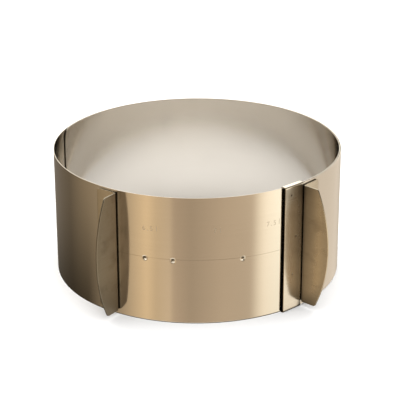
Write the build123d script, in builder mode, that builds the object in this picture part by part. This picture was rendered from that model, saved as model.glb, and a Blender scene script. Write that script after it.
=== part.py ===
from build123d import *
import math
import os

# An adjustable cake ring: one long spring-steel strip wound round on itself, with a guide sleeve on its
# outer end and two sheet handles that are squeezed together or drawn apart to set the diameter.
# Millimetres, +Z up. The origin is on the ring's axis, at the level that the ring stands on.
# Angles are seen from above: 0 is the front, towards -Y, and they grow towards +X.

# Strip
ring_d = 190.8  # outer diameter of the front panel
strip_h = 85.0
strip_t = 0.4
layer_gap = 0.45  # between the two layers where the strip overlaps
outer_end_angle = 37.0  # the outer end lies inside the sleeve
ease_angle = 165.0  # both layers are round from the front to here, then wind inwards by the pitch
inner_end_angle = 253.0
half_turn = 180.0
end_corner_r = 7.0

# Stop and marker pips, pressed outwards at half the strip's height
pip_d = 3.2
pip_rise = 0.35
pip_places = (19.0, 37.2, 81.5)  # along the panel, from the fixed handle's root

# Guide sleeve
sleeve_len = 15.6
sleeve_t = 0.5
sleeve_bend_r = 0.9
sleeve_play = 0.15  # between the sleeve's plate and the outer layer
edge_play = 0.2  # above and below the strip
return_play = 0.3  # behind the strip
return_h = 3.5

# Handles
weld_gap = 0.06  # between the fixed handle's flange and the panel
fixed_root_angle = -31.5
sliding_root_angle = 43.5
lean_angle = 4.5  # each wing leans away from the other
handle_lift = 2.6  # above the strip's foot
handle_h = 80.9
handle_t = 0.9
flange_len = 15.0
bend_r = 1.5  # inside of the bend
wing_end_w = 12.2
wing_mid_w = 21.5
wing_corner_r = 1.2
flange_corner_r = 2.0

panel_r = ring_d / 2
pitch = strip_t + layer_gap
outer_r = panel_r + pitch
foot_z = sleeve_t + edge_play
os.makedirs("parts", exist_ok=True)


def outward(angle):
    """The level direction from the axis at an angle."""
    return Vector(math.sin(math.radians(angle)), -math.cos(math.radians(angle)), 0)


def along(angle):
    """The level direction in which the angle grows."""
    return Vector(math.cos(math.radians(angle)), math.sin(math.radians(angle)), 0)


def arc(radius, start_angle, end_angle, centre=(0, 0)):
    """A stretch of a circle in plan."""
    quarter_turn = 90
    return CenterArc(centre, radius, start_angle - quarter_turn, end_angle - start_angle)


def strip_side(radius):
    """One face of the strip in plan, from its outer end to its inner end, for that face's panel radius."""
    arc(radius + pitch, outer_end_angle, ease_angle)
    arc(radius + pitch / 2, ease_angle, ease_angle + half_turn, ease_centre)
    arc(radius, ease_angle - half_turn, ease_angle)
    arc(radius - pitch / 2, ease_angle, inner_end_angle, ease_centre)


def end_cap(angle, layer_r, centre=Vector(0, 0)):
    """The strip's thickness at one of its ends, for that end's outer radius."""
    Line(centre + outward(angle) * layer_r, centre + outward(angle) * (layer_r - strip_t))


def pip_profile(foot_r):
    """Half of a pip's dome in section, whose rim is as far from the axis as the given face."""
    dome_r = ((pip_d / 2) ** 2 + pip_rise**2) / (2 * pip_rise)
    root = foot_r - strip_t / 2
    RadiusArc((pip_d / 2, foot_r), (0, foot_r + pip_rise), -dome_r)
    Polyline((0, foot_r + pip_rise), (0, root), (pip_d / 2, root), (pip_d / 2, foot_r))


# Band: the strip in plan, raised to its height, with its corners rounded at the inner end. Past the ease
# angle it is drawn about a centre half a pitch away, so that half a turn brings it one pitch further in.
ease_centre = outward(ease_angle) * (pitch / 2)
with BuildPart() as band:
    with BuildSketch(Plane.XY.offset(foot_z)):
        with BuildLine():
            strip_side(panel_r)
            strip_side(panel_r - strip_t)
            end_cap(outer_end_angle, outer_r)
            end_cap(inner_end_angle, panel_r - pitch / 2, ease_centre)
        make_face()
    extrude(amount=strip_h)
    end_axis = Axis((0, 0, 0), outward(inner_end_angle))
    across_end = band.edges().filter_by(end_axis).sort_by(Axis((0, 0, 0), along(inner_end_angle)))
    fillet([edge for edge in across_end if edge.center().dot(end_axis.direction) > 0][-2:], end_corner_r)
    for place in pip_places:
        pip_angle = fixed_root_angle + math.degrees(place / panel_r)
        pip_plane = Plane((0, 0, foot_z + strip_h / 2), x_dir=(0, 0, 1), z_dir=along(pip_angle))
        pip_axis = Axis((0, 0, foot_z + strip_h / 2), outward(pip_angle))
        with BuildSketch(pip_plane):
            with BuildLine():
                pip_profile(panel_r)
            make_face()
        revolve(axis=pip_axis)
        with BuildSketch(pip_plane):
            with BuildLine():
                pip_profile(panel_r - strip_t)
            make_face()
        revolve(axis=pip_axis, mode=Mode.SUBTRACT)
band.part.label = "band"
print("strip length in mm:", round(band.part.volume / (strip_h * strip_t)), "gap between its layers:", layer_gap)
export_step(band.part, "parts/band.step")

# Guide sleeve: a flat channel that hooks over the strip's rim and foot, bent from one sheet
plate_in_r = outer_r + sleeve_play
plate_out_r = plate_in_r + sleeve_t
strip_in_r = panel_r - strip_t
return_out_r = math.sqrt((strip_in_r - return_play) ** 2 - sleeve_len**2)
return_in_r = return_out_r - sleeve_t
sleeve_top = foot_z + strip_h + edge_play + sleeve_t
with BuildPart() as guide_sleeve:
    with BuildSketch(Plane((0, 0, 0), x_dir=outward(sliding_root_angle), z_dir=-along(sliding_root_angle))):
        with BuildLine():
            FilletPolyline(
                (return_in_r, return_h),
                (return_in_r, 0),
                (plate_out_r, 0),
                (plate_out_r, sleeve_top),
                (return_in_r, sleeve_top),
                (return_in_r, sleeve_top - return_h),
                radius=sleeve_bend_r,
            )
            offset(amount=sleeve_t, side=Side.LEFT)
        make_face()
    extrude(amount=sleeve_len)
guide_sleeve.part.label = "guide_sleeve"
export_step(guide_sleeve.part, "parts/guide_sleeve.step")


def handle(root_angle, seat_r, away):
    """A handle bent from one sheet: a flange round the wall, on the side away from the scale, and a bowed wing."""
    quarter_turn = 90
    lean = away * lean_angle
    foot = foot_z + handle_lift
    plan = Plane((0, 0, foot), x_dir=outward(root_angle), z_dir=(0, 0, 1))
    root = Vector(seat_r, -away * handle_t / 2)
    wing_dir = Vector(1, 0).rotate(Axis.Z, lean)
    bend_out_r = bend_r + handle_t
    stub_w = 2 * bend_out_r
    # The bend's centre lies its outer radius from the wall and from the wing's face.
    beside = root + wing_dir.rotate(Axis.Z, away * quarter_turn) * bend_out_r
    run = beside.dot(wing_dir)
    bend_centre = beside + wing_dir * (math.sqrt(run**2 - beside.length**2 + (seat_r + bend_out_r) ** 2) - run)
    bend_angle = math.degrees(math.atan2(bend_centre.Y, bend_centre.X))
    flange_angle = away * math.degrees(flange_len / seat_r)

    def sheet_side(depth):
        """One face of the sheet in plan, for its depth below the face that lies on the wall."""
        CenterArc((0, 0), seat_r + depth, bend_angle, flange_angle - bend_angle)
        half = away * 2 * quarter_turn
        CenterArc(bend_centre, bend_out_r - depth, bend_angle + half, lean - bend_angle + away * quarter_turn)
        face = Vector(0, away * depth).rotate(Axis.Z, lean)
        Line(bend_centre - (beside - root) + face, root + wing_dir * stub_w + face)

    wing_root = plan.from_local_coords(root)
    wing_out = outward(root_angle).rotate(Axis.Z, lean)
    wing_plane = Plane(wing_root, x_dir=wing_out, z_dir=wing_out.cross(Vector(0, 0, 1)))
    with BuildPart() as sheet:
        with BuildSketch(plan):
            with BuildLine():
                sheet_side(0)
                sheet_side(handle_t)
                flange_end = Vector(1, 0).rotate(Axis.Z, flange_angle)
                Line(flange_end * seat_r, flange_end * (seat_r + handle_t))
                stub_end = root + wing_dir * stub_w
                Line(stub_end, stub_end + Vector(0, away * handle_t).rotate(Axis.Z, lean))
            make_face()
        extrude(amount=handle_h)
        end_angle = root_angle + flange_angle
        across_flange = sheet.edges().filter_by(Axis((0, 0, 0), outward(end_angle)))
        fillet(across_flange.sort_by(Axis((0, 0, 0), along(end_angle) * away))[-2:], flange_corner_r)
        with BuildSketch(wing_plane):
            with BuildLine():
                Line((stub_w, 0), (wing_end_w, 0))
                ThreePointArc((wing_end_w, 0), (wing_mid_w, handle_h / 2), (wing_end_w, handle_h))
                Polyline((wing_end_w, handle_h), (stub_w, handle_h), (stub_w, 0))
            make_face()
            fillet([corner for corner in vertices() if corner.X > (wing_end_w + stub_w) / 2], wing_corner_r)
        extrude(amount=-away * handle_t)
    return sheet.part


fixed_handle = handle(fixed_root_angle, panel_r + weld_gap, -1)
fixed_handle.label = "fixed_handle"
export_step(fixed_handle, "parts/fixed_handle.step")

sliding_handle = handle(sliding_root_angle, plate_in_r, 1)
sliding_handle.label = "sliding_handle"
export_step(sliding_handle, "parts/sliding_handle.step")
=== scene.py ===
# %% [markdown]
# # An adjustable cake ring
#
# The ring is one long strip of polished spring steel, wound a little over one and a half times round on
# itself. Its inner end slides inside the outer layer, so the ring grows and shrinks. A hooked sleeve holds
# the two layers together, and two bowed handles are squeezed or spread to set the size. Every piece is thin
# sheet, so this lesson is about sheet metal: how to build it with real thickness and soft edges, and how to
# make it shine.
#
# The CAD model comes first and stays fixed. Everything here is drawn in the same frame, in metres.

import math
from types import SimpleNamespace

import bmesh
import bpy
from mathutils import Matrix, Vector


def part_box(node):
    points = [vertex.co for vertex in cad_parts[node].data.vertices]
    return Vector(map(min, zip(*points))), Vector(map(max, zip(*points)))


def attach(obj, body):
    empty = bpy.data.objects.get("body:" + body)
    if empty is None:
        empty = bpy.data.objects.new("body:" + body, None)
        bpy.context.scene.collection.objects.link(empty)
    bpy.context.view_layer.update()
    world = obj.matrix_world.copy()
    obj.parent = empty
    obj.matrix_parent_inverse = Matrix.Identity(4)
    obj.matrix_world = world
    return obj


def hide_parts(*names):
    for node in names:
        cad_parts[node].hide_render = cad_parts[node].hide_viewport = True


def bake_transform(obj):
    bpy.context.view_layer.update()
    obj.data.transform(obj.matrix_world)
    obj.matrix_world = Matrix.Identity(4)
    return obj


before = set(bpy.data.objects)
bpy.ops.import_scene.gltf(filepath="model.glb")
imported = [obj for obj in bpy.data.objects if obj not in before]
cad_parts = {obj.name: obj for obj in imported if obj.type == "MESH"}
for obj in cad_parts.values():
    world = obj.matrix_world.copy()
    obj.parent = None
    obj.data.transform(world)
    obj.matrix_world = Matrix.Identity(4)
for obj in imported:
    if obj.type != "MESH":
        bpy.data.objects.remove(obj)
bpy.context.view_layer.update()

# %% [markdown]
# ## The camera
#
# The photograph looks down at the ring by 22.5 degrees, with a long lens. A camera could be aimed with a
# Track To constraint, but here its three angles are known, so they are set one by one: pitch down, a touch
# of turn and a touch of roll. The film is 36 mm wide and the picture is square.

# %% Camera
picture_px, focal_px = 400, 1496.64
film_w = 36.0  # mm, the unit of Blender's lenses
camera_place = (0.0001, -0.93994, 0.4344)
pitch_down, turn_right, roll = 0.3926, 0.0029, -0.0021  # radians


def new_object(name, data):
    """An object for a mesh, a text, a lamp or a camera, put in the scene."""
    made = bpy.data.objects.new(name, data)
    bpy.context.scene.collection.objects.link(made)
    return made


camera_data = bpy.data.cameras.new("camera")
camera_data.sensor_width = film_w
camera_data.lens = film_w * focal_px / picture_px
camera = new_object("camera", camera_data)
bpy.context.scene.camera = camera
camera.location = camera_place
camera.rotation_mode = "XYZ"
camera.rotation_euler = (math.pi / 2 - pitch_down, -roll, -turn_right)
print("lens in mm:", round(camera_data.lens, 1))

# %% [markdown]
# ## The sizes of the real ring
#
# A sheet part is told by few numbers: how thick it is, how high, and the path that it follows in plan. The
# strip's path is four arcs. At the front and on the right both layers are round about the ring's axis. Over
# the other half turn the strip is drawn about a centre that lies half a pitch away, which brings it one
# pitch further in.

# %% Sizes, in metres
MM = 0.001
panel_r = 95.4 * MM
strip_t = 0.4 * MM
layer_gap = 0.45 * MM
strip_h = 85.0 * MM
foot_z = 0.7 * MM
end_corner_r = 7.0 * MM
pitch = strip_t + layer_gap
mid_z = foot_z + strip_h / 2
full_turn, half_turn = 360, 180  # degrees
outer_end, ease_angle, inner_end = 37.0, 165.0, 613.0  # degrees along the strip, 1.6 turns in all


def outward(angle):
    """The level direction away from the axis: 0 degrees is the front, and the angle grows to the right."""
    return Vector((math.sin(math.radians(angle)), -math.cos(math.radians(angle)), 0))


def along(angle):
    """The level direction in which the angle grows."""
    return Vector((math.cos(math.radians(angle)), math.sin(math.radians(angle)), 0))


ease_centre = outward(ease_angle) * (pitch / 2)


def on_strip(angle, depth, z):
    """A point of the strip: how far round it is, how deep below its outer face, and how high."""
    half_turns = 0 if angle <= ease_angle else 1 + int((angle - ease_angle) // half_turn)
    centre = ease_centre if half_turns % 2 else Vector()
    layer_r = panel_r + pitch - half_turns * pitch / 2
    return centre + outward(angle) * (layer_r - depth) + Vector((0, 0, z))


print("strip length in mm:", round(math.radians(inner_end - outer_end) * panel_r / MM))

# %% [markdown]
# ## One helper for every sheet
#
# A sheet could be made with a Solidify modifier on a single surface. Two matching grids of points are surer
# here: a pressed pip moves both faces together, as it does in real sheet, and a weld dent only the face that
# is seen. The helper joins the two grids round their rim, and a Bevel modifier rounds the cut edges, so that
# they catch the light. The modifier is applied at once, because later steps note values on the final
# points.

# %% Mesh helpers
def final_mesh(piece):
    """The mesh that a piece has once its modifiers or its text settings are applied."""
    bpy.context.view_layer.update()
    return bpy.data.meshes.new_from_object(piece.evaluated_get(bpy.context.evaluated_depsgraph_get()))


def sheet_faces(columns, rows, open_columns):
    """The faces of two grids of points, and those of the rim between them, which open columns don't have."""

    def index(side, column, row):
        return (side * columns + column) * rows + row

    grid_faces, rim_faces = [], []
    for column in range(columns - 1):
        for row in range(rows - 1):
            corners = [(column, row), (column + 1, row), (column + 1, row + 1), (column, row + 1)]
            grid_faces.append([index(0, *corner) for corner in corners])
            grid_faces.append([index(1, *corner) for corner in reversed(corners)])
    rim = [(column, 0) for column in range(columns - 1)]
    rim += [(columns - 1, row) for row in range(rows - 1)]
    rim += [(column, rows - 1) for column in range(columns - 1, 0, -1)]
    rim += [(0, row) for row in range(rows - 1, 0, -1)]
    for here, there in zip(rim, rim[1:] + rim[:1]):
        if not (here[0] == there[0] and here[0] in open_columns):
            rim_faces.append([index(0, *there), index(0, *here), index(1, *here), index(1, *there)])
    return grid_faces, rim_faces


# %% Sheet helper
STEEL, CUT_EDGE = 0, 1  # a sheet's material slots
bevel_steps, sharp_angle = 2, 60  # an edge that turns by more than this many degrees is rounded


def sheet(name, outer, inner, edge_r, goes_on=()):
    """A sheet from two matching grids of points, with rounded edges except at an end where it goes on."""
    columns, rows = len(outer), len(outer[0])
    ends = {"start": 0, "end": columns - 1}
    grid_faces, rim_faces = sheet_faces(columns, rows, [ends[end] for end in goes_on])
    rough = bpy.data.meshes.new(name)
    points = [point for grid in (outer, inner) for line in grid for point in line]
    rough.from_pydata(points, [], grid_faces + rim_faces)
    for polygon in rough.polygons:
        polygon.material_index = STEEL if polygon.index < len(grid_faces) else CUT_EDGE
    shape = bmesh.new()
    shape.from_mesh(rough)
    bmesh.ops.recalc_face_normals(shape, faces=shape.faces)
    shape.to_mesh(rough)
    shape.free()
    piece = new_object(name, rough)
    bevel = piece.modifiers.new("edges", "BEVEL")
    bevel.width, bevel.segments = edge_r, bevel_steps
    bevel.limit_method, bevel.angle_limit = "ANGLE", math.radians(sharp_angle)
    piece.data = final_mesh(piece)
    piece.modifiers.clear()
    bpy.data.meshes.remove(rough)
    piece.data.name = name
    piece.data.shade_smooth()
    print(name, "has", len(piece.data.polygons), "faces")
    return piece


def spaced(start, end, step, fine=(), fine_step=None, edge=None):
    """Even stops from start to end, closer together inside the fine stretches and beside the edges."""
    count = max(1, round((end - start) / step))
    stops = [start + (end - start) * i / count for i in range(count + 1)]
    for low, high in fine:
        stops = [stop for stop in stops if not low <= stop <= high]
        inner_count = round((high - low) / fine_step)
        stops += [low + (high - low) * i / inner_count for i in range(inner_count + 1)]
    if edge:
        stops += [start + edge, end - edge]
    return sorted(stops)


# %% [markdown]
# ## Pips, dents and burns
#
# Three small pips stand on the front of the strip at half its height, as stops for the sleeve. Pressing
# drags the steel round a pip down with it, so each dome stands in a shallow ring. A spot weld leaves a
# shallow round dent, and a burn in its middle. They could be sculpted, or painted as bump. One function of
# the distance from their middle, with a smooth cosine flank, does for them all, and gives real shapes for
# reflections to bend on.

# %% Pressed spots
pip_dome_r, pip_ring_r = 1.6 * MM, 2.0 * MM
pip_rise, pip_ring_depth = 0.6 * MM, 0.1 * MM
pip_places = [19.0 * MM, 37.2 * MM, 81.5 * MM]  # along the panel, from the fixed handle's root
fixed_root_angle = -31.5
weld_foot_r, weld_top_r, weld_depth = 1.2 * MM, 0.3 * MM, 0.1 * MM


def spot(distance, foot_r, top_r, rise):
    """How far a round spot with a flat top lifts the sheet at a distance from its middle."""
    share = min(1.0, max(0.0, (foot_r - distance) / (foot_r - top_r)))
    return rise * (1 - math.cos(math.pi * share)) / 2


def pip(distance):
    """The height of a pip's dome, and of the ring that it stands in, at a distance from its middle."""
    dome = spot(distance, pip_dome_r, 0, pip_rise + pip_ring_depth)
    return dome - spot(distance, pip_ring_r, pip_dome_r, pip_ring_depth)


def at_welds(across, z, welds, foot_r, top_r, amount):
    """A spot of some amount at each weld, where a weld is its place across the sheet and its height."""
    distances = [math.hypot(across - weld_across, z - weld_z) for weld_across, weld_z in welds]
    return sum(spot(distance, foot_r, top_r, amount) for distance in distances)


pip_angles = [fixed_root_angle + math.degrees(place / panel_r) for place in pip_places]
print("pips at", [round(angle, 1) for angle in pip_angles], "degrees")

# %% [markdown]
# ## The strip
#
# The strip is cut into three pieces where the fixed handle and the back hide the cut, because it has to
# move: the inside layer and the front panel stay with the fixed handle, and the outer layer is two pieces
# that ride on neither body. On the real ring the whole strip flexes to a new diameter. A rigid hinge can't
# show that.

# %% A piece of the strip
strip_edge_r = 0.09 * MM


def height_range(angle):
    """The strip's lowest and highest point at an angle: its corners are rounded at the inner end."""
    short = max(0.0, end_corner_r - math.radians(inner_end - angle) * panel_r)
    cut = end_corner_r - math.sqrt(max(0.0, end_corner_r**2 - short**2))
    return foot_z + cut, foot_z + strip_h - cut


def pip_lift(angle, z):
    """How far the pips lift the front panel at a point."""
    lift = 0
    for pip_angle in pip_angles:
        sideways = math.radians(angle - full_turn - pip_angle) * panel_r
        lift += pip(math.hypot(sideways, z - mid_z))
    return lift


def no_lift(angle, z):
    """The strip is plain here."""
    return 0


def strip_piece(name, angles, shares, goes_on, lift=no_lift):
    """A stretch of the strip: its columns stand at angles, and its rows at shares of the height there."""
    outer, inner = [], []
    for angle in angles:
        low, high = height_range(angle)
        heights = [low + (high - low) * share for share in shares]
        outer.append([on_strip(angle, -lift(angle, z), z) for z in heights])
        inner.append([on_strip(angle, strip_t - lift(angle, z), z) for z in heights])
    return sheet(name, outer, inner, strip_edge_r, goes_on)


# %% Strip pieces
seam_front, seam_back = 324.0, 180.0
column_step, pip_column_step = 1.0, 0.06  # degrees
row_share, pip_row_share, rim_share = 0.08, 0.1 * MM / strip_h, 0.25 * MM / strip_h
pip_reach = 2.1 * MM  # how far the fine grid goes from a pip's middle
pip_reach_angle = math.degrees(pip_reach / panel_r)
pip_rows_stretch = (0.5 - pip_reach / strip_h, 0.5 + pip_reach / strip_h)
pip_stretches = [
    (full_turn + angle - pip_reach_angle, full_turn + angle + pip_reach_angle) for angle in pip_angles
]
last_angle = inner_end - 0.02  # just before the end, where the curves of the rounded corners stand upright
corner_start, corner_steps = inner_end - math.degrees(end_corner_r / panel_r), 14

plain_rows = spaced(0, 1, row_share, edge=rim_share)
pip_rows = spaced(0, 1, row_share, [pip_rows_stretch], pip_row_share, rim_share)
panel_angles = spaced(seam_front, last_angle, column_step, pip_stretches, pip_column_step)
panel_angles = [angle for angle in panel_angles if angle < corner_start]
panel_angles += [
    corner_start + (last_angle - corner_start) * math.sin(math.pi / 2 * i / corner_steps)
    for i in range(corner_steps + 1)
]
left_angles = spaced(seam_back, seam_front, column_step)
right_angles = spaced(outer_end, seam_back, column_step)
band_panel = strip_piece("band_panel", panel_angles, pip_rows, ["start"], pip_lift)
wrap_left = strip_piece("band_wrap_left", left_angles, plain_rows, ["start", "end"])
wrap_right = strip_piece("band_wrap_right", right_angles, plain_rows, ["end"])

# %% [markdown]
# ## The guide sleeve
#
# The sleeve is one flat plate that is bent round the strip's rim and foot, so that the strip can only
# slide. Its profile could be a curve with a bevel. Here it is a row of points round its bends, moved along
# the plate, because the plate then gets its weld dents from the same function as the pips.

# %% Sleeve sizes
sliding_root_angle = 43.5
sleeve_len, sleeve_t, sleeve_bend_r = 15.6 * MM, 0.5 * MM, 0.9 * MM
sleeve_play, edge_play, return_play, return_h = 0.15 * MM, 0.2 * MM, 0.3 * MM, 3.5 * MM
sleeve_bow = 0.4 * MM  # how much the plate follows the strip's curve at its free end
sleeve_welds = [(8.0 * MM, 25 * MM), (5.6 * MM, 51 * MM), (10.3 * MM, 80 * MM)]
wrap_r = panel_r + pitch  # the outer layer's face
plate_r = wrap_r + sleeve_play + sleeve_t
return_r = math.sqrt((panel_r - strip_t - return_play) ** 2 - sleeve_len**2) - sleeve_t
sleeve_top = foot_z + strip_h + edge_play + sleeve_t
sleeve_corners = [
    Vector((return_r, return_h)),
    Vector((return_r, 0)),
    Vector((plate_r, 0)),
    Vector((plate_r, sleeve_top)),
    Vector((return_r, sleeve_top)),
    Vector((return_r, sleeve_top - return_h)),
]
print("the sleeve is", round(sleeve_top / MM, 1), "mm high")


# %% Bent profiles
def rounded(corners, radius, steps):
    """A path with its corners rounded, as pairs of a point and the direction that the path has there."""
    path = []
    for before, corner, after in zip(corners, corners[1:], corners[2:]):
        come, leave = (corner - before).normalized(), (after - corner).normalized()
        turn = come.angle(leave)
        centre = corner + (leave - come).normalized() * radius / math.cos(turn / 2)
        reach = radius * math.tan(turn / 2)
        first, last = corner - come * reach - centre, corner + leave * reach - centre
        for i in range(steps + 1):
            to_go, done = math.sin(turn * (1 - i / steps)), math.sin(turn * (i / steps))
            arm = (first * to_go + last * done) / math.sin(turn)
            path.append((centre + arm, (come * to_go + leave * done).normalized()))
    start_way = (corners[1] - corners[0]).normalized()
    end_way = (corners[-1] - corners[-2]).normalized()
    return [(corners[0], start_way)] + path + [(corners[-1], end_way)]


def filled(path, step):
    """The same path with stops added along its straight runs."""
    stops = [path[0]]
    for (here, way), (there, next_way) in zip(path, path[1:]):
        count = max(1, round((there - here).length / step))
        stops += [(here.lerp(there, i / count), way.lerp(next_way, i / count)) for i in range(1, count + 1)]
    return stops


# %% Sleeve
sleeve_step, sleeve_rim, sleeve_bend_steps, sleeve_edge_r = 0.5 * MM, 0.2 * MM, 6, 0.12 * MM
hair = 0.01 * MM  # a point this near to a face counts as on it


def sleeve_dent(back, place):
    """How deep the welds dent the sleeve at a point, which they do on its plate alone."""
    if place.x <= plate_r - hair:
        return 0
    return at_welds(back, place.y, sleeve_welds, weld_foot_r, weld_top_r, weld_depth)


sleeve_path = filled(rounded(sleeve_corners, sleeve_bend_r, sleeve_bend_steps), sleeve_step)
sleeve_outer, sleeve_inner = [], []
for back in spaced(0, sleeve_len, sleeve_step, edge=sleeve_rim):
    set_in = Vector((sleeve_bow * (back / sleeve_len) ** 2, 0))
    outer_line, inner_line = [], []
    for place, way in sleeve_path:
        left = Vector((-way.y, way.x))
        for line, depth in ((outer_line, sleeve_dent(back, place)), (inner_line, sleeve_t)):
            out, up = place + left * depth - set_in
            level = Vector((0, 0, up))
            line.append(outward(sliding_root_angle) * out - along(sliding_root_angle) * back + level)
    sleeve_outer.append(outer_line)
    sleeve_inner.append(inner_line)
guide_sleeve = sheet("sleeve_plate", sleeve_outer, sleeve_inner, sleeve_edge_r)

# %% [markdown]
# ## Soil and painted shade on the sleeve
#
# The steel is darker at some heights than at others, as listed, and darker in its crevices, where shade
# falls: that is painted shade. The welds are burnt. All of it could be painted on an image. Here each point
# of a piece notes how dark it is, from 0 to 1, and the steel reads that value, so the darkening follows the
# shape and needs no unwrapping.

# %% Soil and shade helpers
def soil_and_shade(piece, amount):
    """Note how dark each point of a piece is, by soil and painted shade, from 0 to 1, for its steel to read.
    """
    noted = piece.data.attributes.new("soil_and_shade", "FLOAT", "POINT")
    for vertex, value in zip(piece.data.vertices, noted.data):
        value.value = min(1.0, max(0.0, amount(vertex.co)))
    average = sum(value.value for value in noted.data) / len(noted.data)
    print(piece.name, "has soil of", round(average, 2), "on average")


def darkening_at(stops, z):
    """How dark the steel is made at a height, between stops that are pairs of a height and a value."""
    for (low, low_film), (high, high_film) in zip(stops, stops[1:]):
        if z <= high:
            return low_film + (high_film - low_film) * max(0.0, z - low) / (high - low)
    return stops[-1][1]


# %% Sleeve soil and painted shade
sleeve_by_height = [
    (0.9 * MM, 0.85),
    (1.7 * MM, 0.1),
    (26 * MM, 0),
    (46 * MM, 0.2),
    (70 * MM, 0.2),
    (80 * MM, 0.45),
    (84.6 * MM, 0.45),
    (85.5 * MM, 0),
]
# Painted shade: the plate is darkened beside the handle's bend, and most at its foot, in the corner.
shade_beside_bend, beside_bend_w = 0.26, 6.0 * MM
shade_at_root, at_root_z, at_root_r = 0.7, 2 * MM, 4 * MM
burn, burn_foot_r, burn_top_r = 0.6, 0.9 * MM, 0.3 * MM


def sleeve_shade_and_soil(point):
    """Darkening by height, painted shade beside the handle's bend and most at its foot, and the burnt welds.
    """
    back = -point.dot(along(sliding_root_angle))
    near_bend = max(0.0, 1 - back / beside_bend_w)
    near_root = max(0.0, 1 - math.hypot(back, point.z - at_root_z) / at_root_r)
    burnt = at_welds(back, point.z, sleeve_welds, burn_foot_r, burn_top_r, burn)
    return shade_beside_bend * near_bend + shade_at_root * near_root + darkening_at(sleeve_by_height, point.z) + burnt


soil_and_shade(guide_sleeve, sleeve_shade_and_soil)

# %% [markdown]
# ## The two handles
#
# Each handle is bent from one sheet: a flange that hugs the wall and is spot-welded to it, a tight bend,
# and a wing that stands out and bows towards the hand. In the flat it is a strip with one bowed side.
# Booleans could cut it out of a block, but a grid keeps its faces even: it has a row for each height, and
# each row runs from the flange's edge to wherever the bow is at that height. The bend's centre is found
# first: it lies the bend's outer radius from the wall and from the wing's face.

# %% Handle sizes
handle_lift, handle_h, handle_t = 2.6 * MM, 80.9 * MM, 0.9 * MM
flange_len, bend_r, lean_angle = 15.0 * MM, 1.5 * MM, 4.5
wing_end_w, wing_mid_w = 12.2 * MM, 21.5 * MM
wing_corner_r, flange_corner_r = 1.2 * MM, 2.0 * MM
weld_gap = 0.06 * MM
handle_foot = foot_z + handle_lift
bend_out_r = bend_r + handle_t
bow = wing_mid_w - wing_end_w
bow_r = ((handle_h / 2) ** 2 + bow**2) / (2 * bow)
weld_out, weld_inset = 8.5 * MM, 14 * MM  # from the root, and from the handle's foot and top
flange_welds = [(weld_out, weld_inset), (weld_out, handle_h / 2), (weld_out, handle_h - weld_inset)]
off_flange = 0.5 * MM  # a point this far out from the wall is on the bend or the wing
flange_steps, bend_steps, wing_steps = 30, 8, 24
handle_step, corner_zone, corner_step, handle_edge_r = 1.6 * MM, 2.0 * MM, 0.2 * MM, 0.2 * MM
print("the wing's bow has a radius of", round(bow_r / MM, 1), "mm")


# %% A handle in plan
def turned(vector, angle):
    """A flat vector turned by an angle in radians."""
    cosine, sine = math.cos(angle), math.sin(angle)
    return Vector((vector.x * cosine - vector.y * sine, vector.x * sine + vector.y * cosine))


def handle_plan(root_angle, seat_r, away):
    """A handle seen from above, with its root on the X axis and its flange on the side that away gives."""
    lean = away * math.radians(lean_angle)
    wing_way = turned(Vector((1, 0)), lean)
    wing_back = turned(Vector((0, away)), lean)
    root = Vector((seat_r, -away * handle_t / 2))
    beside = root + wing_back * bend_out_r
    run = beside.dot(wing_way)
    onward = math.sqrt(run**2 - beside.length_squared + (seat_r + bend_out_r) ** 2) - run
    centre = beside + wing_way * onward
    bend_angle = math.atan2(centre.y, centre.x)
    bend_turn = lean - bend_angle + away * math.pi / 2
    arms = [turned(Vector((-1, 0)), bend_angle + bend_turn * i / bend_steps) for i in range(bend_steps + 1)]
    return SimpleNamespace(
        root_angle=root_angle,
        seat_r=seat_r,
        away=away,
        root=root,
        wing_way=wing_way,
        wing_back=wing_back,
        wing_start=centre - wing_back * bend_out_r,
        bend_centre=centre,
        bend_angle=bend_angle,
        bend=[(centre + arm * bend_out_r, -arm) for arm in arms],
    )


left_plan = handle_plan(fixed_root_angle, panel_r + weld_gap, -1)
right_plan = handle_plan(sliding_root_angle, wrap_r + sleeve_play, 1)
print("bend centres, in mm:", [round(plan.bend_centre.length / MM, 2) for plan in (left_plan, right_plan)])


# %% A handle's rows
def corner_cut(to_end, radius):
    """How much a rounded corner takes off a side, at a distance from the sheet's end."""
    short = max(0.0, radius - to_end)
    return radius - math.sqrt(max(0.0, radius**2 - short**2))


def handle_row(plan, height):
    """The handle from the flange's edge to the wing's tip: pairs of a point and the way into the sheet."""
    to_end = min(height, handle_h - height)
    flange_angle = plan.away * (flange_len - corner_cut(to_end, flange_corner_r)) / plan.seat_r
    reach = math.sqrt(bow_r**2 - (height - handle_h / 2) ** 2) - (bow_r - wing_mid_w)
    tip = plan.root + plan.wing_way * (reach - corner_cut(to_end, wing_corner_r))
    row = []
    for i in range(flange_steps):
        arm = turned(Vector((1, 0)), flange_angle + (plan.bend_angle - flange_angle) * i / flange_steps)
        row.append((arm * plan.seat_r, arm))
    row += plan.bend
    row += [(plan.wing_start.lerp(tip, i / wing_steps), plan.wing_back) for i in range(1, wing_steps + 1)]
    return row


def flange_dent(plan, place, height):
    """How deep the welds dent the handle at a point, which they do on its flange alone."""
    if place.x > plan.seat_r + off_flange:
        return 0
    return at_welds(abs(place.y), height, flange_welds, weld_foot_r, weld_top_r, weld_depth)


# %% Handles
def handle(name, plan):
    """A handle: a welded flange on the side away from the scale, a bend and a bowed wing."""
    outer, inner = [], []
    corner_zones = [(0, corner_zone), (handle_h - corner_zone, handle_h)]
    for height in spaced(0, handle_h, handle_step, corner_zones, corner_step):
        level = Vector((0, 0, handle_foot + height))
        outer_line, inner_line = [], []
        for place, deeper in handle_row(plan, height):
            for line, depth in ((outer_line, 0), (inner_line, handle_t - flange_dent(plan, place, height))):
                point = place + deeper * depth
                line.append(outward(plan.root_angle) * point.x + along(plan.root_angle) * point.y + level)
        outer.append(outer_line)
        inner.append(inner_line)
    return sheet(name, outer, inner, handle_edge_r)


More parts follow.
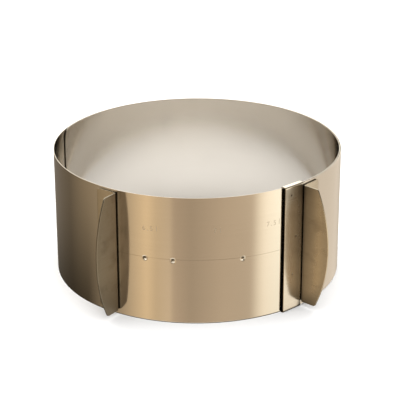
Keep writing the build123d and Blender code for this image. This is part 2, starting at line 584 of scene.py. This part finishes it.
fixed_handle = handle("handle_left", left_plan)
sliding_handle = handle("handle_right", right_plan)
cad_nodes = {"fixed_handle": fixed_handle, "sliding_handle": sliding_handle, "guide_sleeve": guide_sleeve}
for node, piece in cad_nodes.items():
    low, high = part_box(node)
    points = [vertex.co for vertex in piece.data.vertices]
    off = [round((min(point[k] for point in points) - low[k]) / MM, 2) for k in range(3)]
    off += [round((max(point[k] for point in points) - high[k]) / MM, 2) for k in range(3)]
    print(node, "differs from the CAD box, in mm, by", off)

# %% [markdown]
# ## Painted shade and darkening on the handles
#
# A handle's bend is darkened where it comes close to the wall: painted shade in the crevice. The left wing
# gets darker towards its tip. The right one is darkened only beside its bend, with painted shade. Both are
# darker at some heights than at others.

# %% Handle painted shade and darkening
crevice_shade, crevice_shade_top = 2.5, 0.75  # how fast the painted shade in the bend grows, and from where, in outer radii of the bend
at_bend = 0.02 * MM  # a point this near to the bend's seen face counts as on it
left_by_height = [(3 * MM, 0.55), (32 * MM, 0.13)]
right_by_height = [(3 * MM, 0.5), (13 * MM, 0.05), (84 * MM, 0.26)]


def handle_shade_and_soil(plan, root_darkening, growth, by_height):
    """A handle's darkening: what the wing has at its root, how it grows for each metre outwards, and its
    darkening by height.
    """

    def soiled_and_shaded(point):
        """Painted shade in the crevice of the bend, darkening on the wing beyond it, and the darkening by
        height over both.
        """
        local = Vector((point.dot(outward(plan.root_angle)), point.dot(along(plan.root_angle))))
        out = (local - plan.wing_start).dot(plan.wing_way)
        darkening = 0.0
        # Painted shade: the bend is darkened where it comes near the wall.
        if abs((local - plan.bend_centre).length - bend_out_r) < at_bend:
            off_wall = (local.length - plan.seat_r) / bend_out_r
            darkening = max(root_darkening, crevice_shade * (crevice_shade_top - off_wall))
        elif out > 0:
            darkening = max(0.0, root_darkening + growth * out)
        return 1 - (1 - darkening) * (1 - darkening_at(by_height, point.z))

    return soiled_and_shaded


# The left handle: painted shade in its bend, and its wing darker towards the tip.
soil_and_shade(fixed_handle, handle_shade_and_soil(left_plan, root_darkening=0.42, growth=10.5, by_height=left_by_height))
# The right handle: painted shade in its bend, and on its wing within 12 mm of the bend.
soil_and_shade(sliding_handle, handle_shade_and_soil(right_plan, root_darkening=0.48, growth=-40.0, by_height=right_by_height))

# %% [markdown]
# ## The scale
#
# The strip carries a scale in inches, from 6.5 to 12, etched so faintly that only the mark beside the
# sleeve stands out. Etched steel is matt, so each mark is a very thin piece of its own finish. The numbers
# are Blender text, turned into a mesh and laid round the strip. Half an inch of diameter is 39.9 mm of
# strip.

# %% One mark, flat
mark_h, mark_rise = 3.4 * MM, 0.012 * MM
text_size, letter_spacing = mark_h * 1.35, 1.35  # a figure is lower than its font's size
stroke_thinning = 0.02 * MM
tick_w, tick_h, tick_gap = 0.32 * MM, mark_h * 1.05, 2.2 * MM


def add_number(shape, value):
    """Add a number of the scale to a flat shape, so that it ends to the left of its tick."""
    text = bpy.data.curves.new("number", "FONT")
    text.body = f"{value:g}"
    text.size, text.space_character = text_size, letter_spacing
    text.align_x = "RIGHT"
    text.extrude, text.offset = mark_rise, -stroke_thinning
    writer = new_object("number", text)
    number = final_mesh(writer)
    for vertex in number.vertices:
        vertex.co.x -= tick_gap
    shape.from_mesh(number)
    bpy.data.objects.remove(writer)
    bpy.data.meshes.remove(number)


def add_tick(shape):
    """Add a tick to a flat shape, standing on the line where the scale reads."""
    for vertex in bmesh.ops.create_cube(shape, size=1)["verts"]:
        across, up, rise = vertex.co
        vertex.co = Vector((across * tick_w, (up + 0.5) * tick_h, rise * 2 * mark_rise))


# %% Scale marks
mark_z = 62.2 * MM
read_angle, read_value = 32.6, 7.5  # what the scale says beside the sleeve
first_value, last_value = 6.5, 12.0
inch = 25.4 * MM
inch_angle = math.degrees(math.pi * inch / panel_r)

shape = bmesh.new()
for i in range(round((last_value - first_value) * 2) + 1):
    value = first_value + i / 2
    tick_angle = read_angle + (value - read_value) * inch_angle
    before = len(shape.verts)
    add_number(shape, value)
    add_tick(shape)
    shape.verts.ensure_lookup_table()
    for vertex in shape.verts[before:]:
        across, up, rise = vertex.co
        angle = full_turn + tick_angle + math.degrees(across / panel_r)
        vertex.co = on_strip(angle, -rise - mark_rise, mark_z + up)
bmesh.ops.recalc_face_normals(shape, faces=shape.faces)
scale_mesh = bpy.data.meshes.new("scale")
shape.to_mesh(scale_mesh)
shape.free()
scale_piece = new_object("scale", scale_mesh)
print("the scale has", len(scale_mesh.polygons), "faces; an inch is", round(inch_angle, 1), "degrees")

# %% [markdown]
# ## Node groups: rolling grain, waviness and handling marks
#
# Bright sheet isn't a perfect mirror. Rolling leaves fine lines along the strip, the sheet is a little
# wavy, so that reflections wander, and hands leave dull smudges. Each effect is a group that is built once
# and placed in each steel with its own values. Noise stretched far along the strip and little across it
# makes the lines.

# %% Node helpers
def math_node(tree, operation, *values, clamp=False):
    """A Math node whose inputs are sockets or numbers; it gives back its result."""
    node = tree.nodes.new("ShaderNodeMath")
    node.operation, node.use_clamp = operation, clamp
    for socket, value in zip(node.inputs, values):
        if isinstance(value, (int, float)):
            socket.default_value = value
        else:
            tree.links.new(value, socket)
    return node.outputs[0]


def mixed(tree, share, first, second, clamp=True):
    """A Mix node between two colours, each a socket or three numbers; it gives back its result."""
    node = tree.nodes.new("ShaderNodeMix")
    node.data_type, node.clamp_factor = "RGBA", clamp
    share_socket, first_socket, second_socket = node.inputs[0], node.inputs[6], node.inputs[7]
    tree.links.new(share, share_socket)
    for socket, colour in ((first_socket, first), (second_socket, second)):
        if isinstance(colour, tuple):
            socket.default_value = (*colour, 1)
        else:
            tree.links.new(colour, socket)
    return node.outputs[2]


def noise_node(tree, scale, stretch=(1.0, 1.0, 1.0), detail=2.0, roughness=0.6):
    """Noise on the object's own coordinates, squeezed by a factor on each axis."""
    place = tree.nodes.new("ShaderNodeTexCoord")
    mapping = tree.nodes.new("ShaderNodeMapping")
    mapping.inputs["Scale"].default_value = stretch
    noise = tree.nodes.new("ShaderNodeTexNoise")
    noise.inputs["Detail"].default_value = detail
    noise.inputs["Roughness"].default_value = roughness
    tree.links.new(place.outputs["Object"], mapping.inputs["Vector"])
    tree.links.new(mapping.outputs["Vector"], noise.inputs["Vector"])
    if isinstance(scale, (int, float)):
        noise.inputs["Scale"].default_value = scale
    else:
        tree.links.new(scale, noise.inputs["Scale"])
    return noise.outputs["Fac"]


# %% The three groups
def new_group(name, inputs, output):
    """An empty shader group with number inputs and one output, and its two end nodes."""
    group = bpy.data.node_groups.new(name, "ShaderNodeTree")
    for label, value in inputs.items():
        socket = group.interface.new_socket(name=label, in_out="INPUT", socket_type="NodeSocketFloat")
        socket.default_value = value
    group.interface.new_socket(name=output, in_out="OUTPUT", socket_type="NodeSocketFloat")
    return group, group.nodes.new("NodeGroupInput"), group.nodes.new("NodeGroupOutput")


grain, grain_in, grain_out = new_group("Rolling grain", {"Scale": 60.0}, "Lines")
drawn_lines = noise_node(grain, grain_in.outputs["Scale"], stretch=(0.25, 0.25, 40.0), detail=3.0)
grain.links.new(drawn_lines, grain_out.inputs["Lines"])

wave, wave_in, wave_out = new_group("Waviness", {"Scale": 14.0}, "Height")
swell = noise_node(wave, wave_in.outputs["Scale"], stretch=(1.0, 1.0, 0.6), detail=1.0, roughness=0.4)
wave.links.new(swell, wave_out.inputs["Height"])

clean_below, smudge_contrast = 0.52, 4.0
smudge, smudge_in, smudge_out = new_group("Handling marks", {"Scale": 40.0, "Amount": 0.5}, "Dull")
cloud = noise_node(smudge, smudge_in.outputs["Scale"], detail=4.0, roughness=0.55)
touched = math_node(smudge, "SUBTRACT", cloud, clean_below, clamp=True)
touched = math_node(smudge, "MULTIPLY", touched, smudge_contrast, clamp=True)
touched = math_node(smudge, "MULTIPLY", touched, smudge_in.outputs["Amount"])
smudge.links.new(touched, smudge_out.inputs["Dull"])
print("groups:", [group.name for group in (grain, wave, smudge)])

# %% [markdown]
# ## The steels
#
# All the sheet is metal, so the colour of the Principled shader is the colour of its reflection, and
# roughness says how soft the reflection is. The strip's mirror is the sharpest, and drawn out by its
# rolling. The sleeve and the handles are a duller sheet with more smudges, soil and painted shade. A thin
# line is rubbed into the strip just above half its height, where the sleeve and the pips pass.

# %% A rubbed line
line_z = mid_z + 0.9 * MM
line_wander, line_half_w, wander_scale = 0.4 * MM, 0.35 * MM, 18.0
patch_scale, patch_contrast, patch_floor = 45.0, 1.6, -0.2
only_round = (1.0, 1.0, 0.0)  # noise that changes round the ring and not with height


def rubbed_line(tree):
    """How rubbed the strip's outer face is: a thin line that wanders a little and fades in places."""
    place = tree.nodes.new("ShaderNodeTexCoord")
    split = tree.nodes.new("ShaderNodeSeparateXYZ")
    tree.links.new(place.outputs["Object"], split.inputs[0])
    wander = noise_node(tree, wander_scale, stretch=only_round, detail=3.0)
    height = math_node(tree, "MULTIPLY_ADD", wander, line_wander, line_z - line_wander / 2)
    off = math_node(tree, "ABSOLUTE", math_node(tree, "SUBTRACT", split.outputs["Z"], height))
    rub = math_node(tree, "SUBTRACT", 1.0, math_node(tree, "DIVIDE", off, line_half_w), clamp=True)
    square = math_node(tree, "MULTIPLY", split.outputs["X"], split.outputs["X"])
    square = math_node(tree, "MULTIPLY_ADD", split.outputs["Y"], split.outputs["Y"], square)
    outer_face = math_node(tree, "GREATER_THAN", square, (panel_r - strip_t / 2) ** 2)
    patches = noise_node(tree, patch_scale, stretch=only_round, roughness=0.5)
    kept = math_node(tree, "MULTIPLY_ADD", patches, patch_contrast, patch_floor, clamp=True)
    return math_node(tree, "MULTIPLY", math_node(tree, "MULTIPLY", rub, outer_face), kept)


print("the rubbed line is", round(line_z / MM, 1), "mm up")

# %% Steel helpers
grain_depth = 0.0003 * MM
up_and_down = 0.25  # a quarter turn from the tangent, which runs round the ring


def metal_material(name):
    """A new metal material, its node tree and its shader."""
    material = bpy.data.materials.new(name)
    material.use_nodes = True
    shader = material.node_tree.nodes["Principled BSDF"]
    shader.inputs["Metallic"].default_value = 1.0
    return material, material.node_tree, shader


def placed_group(tree, group, values):
    """A group placed in a tree with its own values; it gives back the group's result."""
    node = tree.nodes.new("ShaderNodeGroup")
    node.node_tree = group
    for label, value in values.items():
        node.inputs[label].default_value = value
    return node.outputs[0]


def draw_out(tree, shader, amount):
    """Stretch the reflection across the rolling lines, which run round the ring."""
    tangent = tree.nodes.new("ShaderNodeTangent")
    tangent.direction_type, tangent.axis = "RADIAL", "Z"
    tree.links.new(tangent.outputs[0], shader.inputs["Tangent"])
    shader.inputs["Anisotropic"].default_value = amount
    shader.inputs["Anisotropic Rotation"].default_value = up_and_down


def bumped(tree, shader, lines, waves, wave_depth):
    """Let the waves and then the rolling lines tip the surface."""
    wave_bump, line_bump = tree.nodes.new("ShaderNodeBump"), tree.nodes.new("ShaderNodeBump")
    wave_bump.inputs["Distance"].default_value = wave_depth
    line_bump.inputs["Distance"].default_value = grain_depth
    tree.links.new(waves, wave_bump.inputs["Height"])
    tree.links.new(lines, line_bump.inputs["Height"])
    tree.links.new(wave_bump.outputs[0], line_bump.inputs["Normal"])
    tree.links.new(line_bump.outputs[0], shader.inputs["Normal"])


# %% Steel
# A shade of 0 gives the steel's own colour, and 1 its dark one.
line_floor, line_shade, rub_shade = 0.4, 0.9, 4.0
smudge_rough, rub_rough, soil_and_shade_rough = 0.08, 0.12, 0.3  # what each adds to the roughness
# The colour that mixes in where a piece's points note soil and painted shade.
soil_and_shade_colour = (0.03, 0.024, 0.017)


def steel(
    name, colour, dark, rough, vary, grain_scale, wave_depth, smudges, drawn=0, rubbed=False, soiled_and_shaded=False
):
    """A rolled steel: two colours, a roughness and how much that varies, and its lines, waves and marks."""
    material, tree, shader = metal_material(name)
    lines = placed_group(tree, grain, {"Scale": grain_scale})
    waves = placed_group(tree, wave, {})
    dull = placed_group(tree, smudge, smudges)
    raised = math_node(tree, "SUBTRACT", lines, line_floor)
    shade = math_node(tree, "ADD", dull, math_node(tree, "MULTIPLY", raised, line_shade, clamp=True))
    roughness = math_node(tree, "MULTIPLY_ADD", lines, vary, rough - vary / 2)
    roughness = math_node(tree, "MULTIPLY_ADD", dull, smudge_rough, roughness)
    if rubbed:
        rub = rubbed_line(tree)
        shade = math_node(tree, "MULTIPLY_ADD", rub, rub_shade, shade)
        roughness = math_node(tree, "MULTIPLY_ADD", rub, rub_rough, roughness)
    tone = mixed(tree, shade, colour, dark, clamp=False)
    # Soil and painted shade noted on the points darken the colour and add roughness.
    if soiled_and_shaded:
        noted = tree.nodes.new("ShaderNodeAttribute")
        noted.attribute_name = "soil_and_shade"
        tone = mixed(tree, noted.outputs["Fac"], tone, soil_and_shade_colour)
        roughness = math_node(tree, "MULTIPLY_ADD", noted.outputs["Fac"], soil_and_shade_rough, roughness)
    if drawn:
        draw_out(tree, shader, drawn)
    bumped(tree, shader, lines, waves, wave_depth)
    tree.links.new(tone, shader.inputs["Base Color"])
    tree.links.new(roughness, shader.inputs["Roughness"])
    return material


# %% The steels of the ring
strip_look = dict(
    colour=(0.68, 0.64, 0.58),
    dark=(0.62, 0.58, 0.52),
    rough=0.14,
    vary=0.04,
    grain_scale=60,
    wave_depth=0.1 * MM,
    smudges={"Scale": 30, "Amount": 0.2},
    drawn=0.6,
)
band_steel = steel("band_steel", **strip_look, rubbed=True)
wrap_steel = steel("wrap_steel", **strip_look)
sleeve_steel = steel(
    "sleeve_steel",
    colour=(0.79, 0.745, 0.67),
    dark=(0.67, 0.62, 0.55),
    rough=0.16,
    vary=0.06,
    grain_scale=45,
    wave_depth=0.04 * MM,
    smudges={"Scale": 70, "Amount": 0.6},
    soiled_and_shaded=True,
)
handle_steel = steel(
    "handle_steel",
    colour=(0.75, 0.68, 0.555),
    dark=(0.61, 0.54, 0.43),
    rough=0.2,
    vary=0.06,
    grain_scale=35,
    wave_depth=0.04 * MM,
    smudges={"Scale": 75, "Amount": 1.4},
    soiled_and_shaded=True,
)
print("steels:", [material.name for material in (band_steel, wrap_steel, sleeve_steel, handle_steel)])

# %% [markdown]
# ## Etched marks and cut edges
#
# Acid and shears leave steel matt: its surface is finely pitted, so it shows no picture of the room. Bump
# could make the pits, but they are far smaller than a pixel, so a rough shader with a little noise in its
# colour and roughness looks the same and renders cleaner.

# %% Matt steel
pit_rough = 0.1  # what the pits add to the roughness


def matt_steel(name, colour, light, rough, pit_scale):
    """Steel that is etched or sheared: two colours, a roughness and how fine the pits are."""
    material, tree, shader = metal_material(name)
    pits = noise_node(tree, pit_scale)
    tree.links.new(mixed(tree, pits, colour, light), shader.inputs["Base Color"])
    tree.links.new(math_node(tree, "MULTIPLY_ADD", pits, pit_rough, rough), shader.inputs["Roughness"])
    return material


etched = matt_steel("etched_scale", (0.56, 0.52, 0.46), (0.66, 0.62, 0.56), rough=0.34, pit_scale=2500.0)
cut_edge = matt_steel("cut_edge", (0.6, 0.56, 0.49), (0.76, 0.72, 0.64), rough=0.42, pit_scale=900.0)
print("matt steels:", [material.name for material in (etched, cut_edge)])

# %% [markdown]
# ## Finishes and bodies
#
# A piece that moves as one rides on its body. The outer layer's two pieces ride on none: their placing is
# applied to their points.

# %% Dress and attach
finishes = [
    (band_panel, band_steel, "band_steel", "band"),
    (wrap_left, wrap_steel, "band_steel", "band"),
    (wrap_right, wrap_steel, "band_steel", "band"),
    (scale_piece, etched, "band_steel", None),
    (guide_sleeve, sleeve_steel, "sleeve_steel", "guide_sleeve"),
    (fixed_handle, handle_steel, "handle_steel", "fixed_handle"),
    (sliding_handle, handle_steel, "handle_steel", "sliding_handle"),
]
for piece, material, slot, node in finishes:
    piece.data.materials.clear()
    piece.data.materials.append(material)
    piece.data.materials.append(cut_edge)
    if node:
        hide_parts(node)
for piece in (band_panel, scale_piece, fixed_handle):
    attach(piece, "ring")
for piece in (guide_sleeve, sliding_handle):
    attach(piece, "slider")
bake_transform(wrap_left)
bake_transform(wrap_right)

# %% [markdown]
# ## The light tent
#
# The real ring stood in a light tent with a dark side and two bright panels, and polished steel shows
# little else. Panels could be modelled round the ring, but a world made of colour ramps is smoother and
# casts no shadow. Each belt of the world is a ramp round the horizon. The wall is dark on the left, with a
# narrow warm panel, a plain middle and a broad bright panel on the right. Further down, the ramps stand in
# for the table.

# %% World helper
def ramp_node(tree, stops, around):
    """A colour round the horizon, from pairs of degrees to the right of the front and a tone."""
    node = tree.nodes.new("ShaderNodeValToRGB")
    ramp = node.color_ramp
    ramp.interpolation = "LINEAR"
    while len(ramp.elements) > 1:
        ramp.elements.remove(ramp.elements[-1])
    for i, (degrees, colour) in enumerate(stops):
        place = (degrees + half_turn) / full_turn
        element = ramp.elements[0] if i == 0 else ramp.elements.new(place)
        element.position = place
        element.color = (*colour, 1)
    tree.links.new(around, node.inputs[0])
    return node.outputs[0]


# %% Tones of the tent
wall_stops = [
    (-180, (0.4, 0.34, 0.27)),
    (-160, (0.2, 0.17, 0.135)),
    (-145, (0.2, 0.165, 0.125)),
    (-122, (0.18, 0.14, 0.095)),
    (-98, (0.38, 0.29, 0.185)),
    (-62, (0.56, 0.43, 0.28)),
    (-40, (1.08, 0.8, 0.48)),
    (-32, (0.84, 0.63, 0.39)),
    (-21, (0.7, 0.54, 0.36)),
    (-18, (0.54, 0.41, 0.28)),
    (-4, (0.52, 0.4, 0.275)),
    (22, (0.68, 0.53, 0.37)),
    (44.5, (0.79, 0.63, 0.45)),
    (52, (1.32, 1.14, 0.88)),
    (57, (1.54, 1.36, 1.08)),
    (70, (1.68, 1.56, 1.28)),
    (86, (1.4, 1.26, 1.04)),
    (104, (0.88, 0.77, 0.64)),
    (150, (0.88, 0.77, 0.64)),
    (180, (0.4, 0.34, 0.27)),
]
low_shares = {-180: 0.2, -130: 0.12, -100: 0.03, -80: 0.9, -30: 1.25, -12: 1.0, 30: 0.84, 60: 0.76, 100: 1.06}


def low_share(degrees):
    """How bright the wall is near the table beside higher up: its dark side gets darker there."""
    return low_shares[max(start for start in low_shares if start <= degrees)]


low_stops = [(degrees, tuple(tone * low_share(degrees) for tone in colour)) for degrees, colour in wall_stops]
dark, dim, white = (0.1, 0.085, 0.065), (0.16, 0.135, 0.1), (1.8, 1.7, 1.5)
table_stops = [(-180, dark), (-72, dark), (-48, white), (45, white), (68, dark), (180, dark)]
overhead_stops = [(-180, white), (-125, white), (-100, dim), (110, dim), (135, white), (180, white)]
print("the light tent has", len(wall_stops), "tones round the horizon")

# %% World
wall_lean, lean_level = -0.3, 0.39  # radians sideways for each radian up, from this many radians below level
# Each belt takes over from the one above it between two heights, in radians.
belts = [(wall_stops, 0.1, -0.1), (low_stops, -0.395, -0.45), (table_stops, -0.62, -0.78)]

world = bpy.data.worlds.new("light_tent")
bpy.context.scene.world = world
world.use_nodes = True
tree = world.node_tree
direction = tree.nodes.new("ShaderNodeTexCoord")
split = tree.nodes.new("ShaderNodeSeparateXYZ")
tree.links.new(direction.outputs["Generated"], split.inputs[0])
forwards = math_node(tree, "MULTIPLY", split.outputs["Y"], -1.0)
azimuth = math_node(tree, "ARCTAN2", split.outputs["X"], forwards)
elevation = math_node(tree, "ARCSINE", split.outputs["Z"])
leaning = math_node(tree, "MULTIPLY_ADD", math_node(tree, "ADD", elevation, lean_level), wall_lean, azimuth)
around = math_node(tree, "MULTIPLY_ADD", leaning, 1 / math.tau, 0.5)  # the front is at 0.5 of a turn
tent = ramp_node(tree, overhead_stops, around)
for stops, begins, full in belts:
    share = tree.nodes.new("ShaderNodeMapRange")
    share.inputs["From Min"].default_value, share.inputs["From Max"].default_value = begins, full
    tree.links.new(elevation, share.inputs["Value"])
    tent = mixed(tree, share.outputs[0], tent, ramp_node(tree, stops, around))
print("the tent has", 1 + len(belts), "belts, one above the other")

# %% [markdown]
# Only mirrors see the tent. Where a ray comes straight from the camera, or from the dull floor, the world
# is plain white, so the background stays clean. A Light Path node tells these rays apart.

# %% Plain background
plain_white = (0.96, 0.96, 0.96)
rays = tree.nodes.new("ShaderNodeLightPath")
seen_or_lighting = math_node(tree, "MAXIMUM", rays.outputs["Is Camera Ray"], rays.outputs["Is Diffuse Ray"])
background = mixed(tree, seen_or_lighting, tent, plain_white)
tree.links.new(background, tree.nodes["Background"].inputs["Color"])
print("world nodes:", len(tree.nodes))

# %% [markdown]
# ## Floor
#
# The floor is plain and pale, a large disc that the steel doesn't mirror, because the tent's ramps stand in
# for it. Inside the ring there is a second disc that it does mirror. The strip's foot stands a little clear
# of the floor, since the sleeve's lip is under it, and in the photograph that gap is a thin dark line. A
# dark ring lies on the floor there, or the lit floor would shine through.

# %% Floor pieces
floor_r, floor_z = 6.0, -0.04 * MM
inside_r, inside_z = 93.5 * MM, -0.01 * MM
shade_in_r, shade_out_r, shade_z = 93.3 * MM, 95.1 * MM, 0.01 * MM
disc_segments, shade_segments = 128, 180


def floor_paint(name, colour):
    """A dull paint without gloss."""
    paint = bpy.data.materials.new(name)
    paint.use_nodes = True
    shader = paint.node_tree.nodes["Principled BSDF"]
    shader.inputs["Base Color"].default_value = (*colour, 1)
    shader.inputs["Roughness"].default_value = 0.9
    shader.inputs["Specular IOR Level"].default_value = 0.0
    return paint


def floor_piece(name, shape, z, paint, mirrored):
    """A flat piece of floor at a height, which the steel mirrors or doesn't."""
    mesh = bpy.data.meshes.new(name)
    shape.to_mesh(mesh)
    shape.free()
    mesh.materials.append(paint)
    piece = new_object(name, mesh)
    piece.location.z = z
    piece.visible_glossy = mirrored


def disc(radius):
    """A flat disc."""
    shape = bmesh.new()
    bmesh.ops.create_circle(shape, cap_ends=True, segments=disc_segments, radius=radius)
    return shape


def flat_ring(in_r, out_r):
    """A flat ring between two radii."""
    shape = bmesh.new()
    ways = [outward(full_turn * i / shade_segments) for i in range(shade_segments)]
    inside = [shape.verts.new(way * in_r) for way in ways]
    outside = [shape.verts.new(way * out_r) for way in ways]
    for i in range(shade_segments):
        shape.faces.new((inside[i - 1], outside[i - 1], outside[i], inside[i]))
    return shape


pale = floor_paint("floor_paint", (0.94, 0.94, 0.94))
shadow = floor_paint("foot_shade", (0.1, 0.085, 0.06))
floor_piece("floor", disc(floor_r), floor_z, pale, mirrored=False)
floor_piece("floor_inside", disc(inside_r), inside_z, pale, mirrored=True)
floor_piece("foot_shade", flat_ring(shade_in_r, shade_out_r), shade_z, shadow, mirrored=False)
print("the dark ring is", round((shade_out_r - shade_in_r) / MM, 1), "mm wide")

# %% [markdown]
# ## Lamps
#
# Two large square lamps light the floor softly from above and from the front. The steel doesn't mirror
# them, since the tent already gives it all that it shows. The Standard view keeps the colours as they are
# mixed.

# %% Lamps
def lamp(name, place, size, power):
    """A square lamp that looks at the ring and isn't mirrored: its size in metres and its power in watts."""
    data = bpy.data.lights.new(name, "AREA")
    data.size, data.energy = size, power
    made = new_object(name, data)
    made.location = place
    made.rotation_euler = (-Vector(place)).to_track_quat("-Z", "Y").to_euler()
    made.visible_glossy = False


lamp("lamp_top", (0.0, 0.2, 2.2), size=2.6, power=38)
lamp("lamp_front", (0.6, -1.8, 1.6), size=1.6, power=17)
bpy.context.scene.view_settings.view_transform = "Standard"
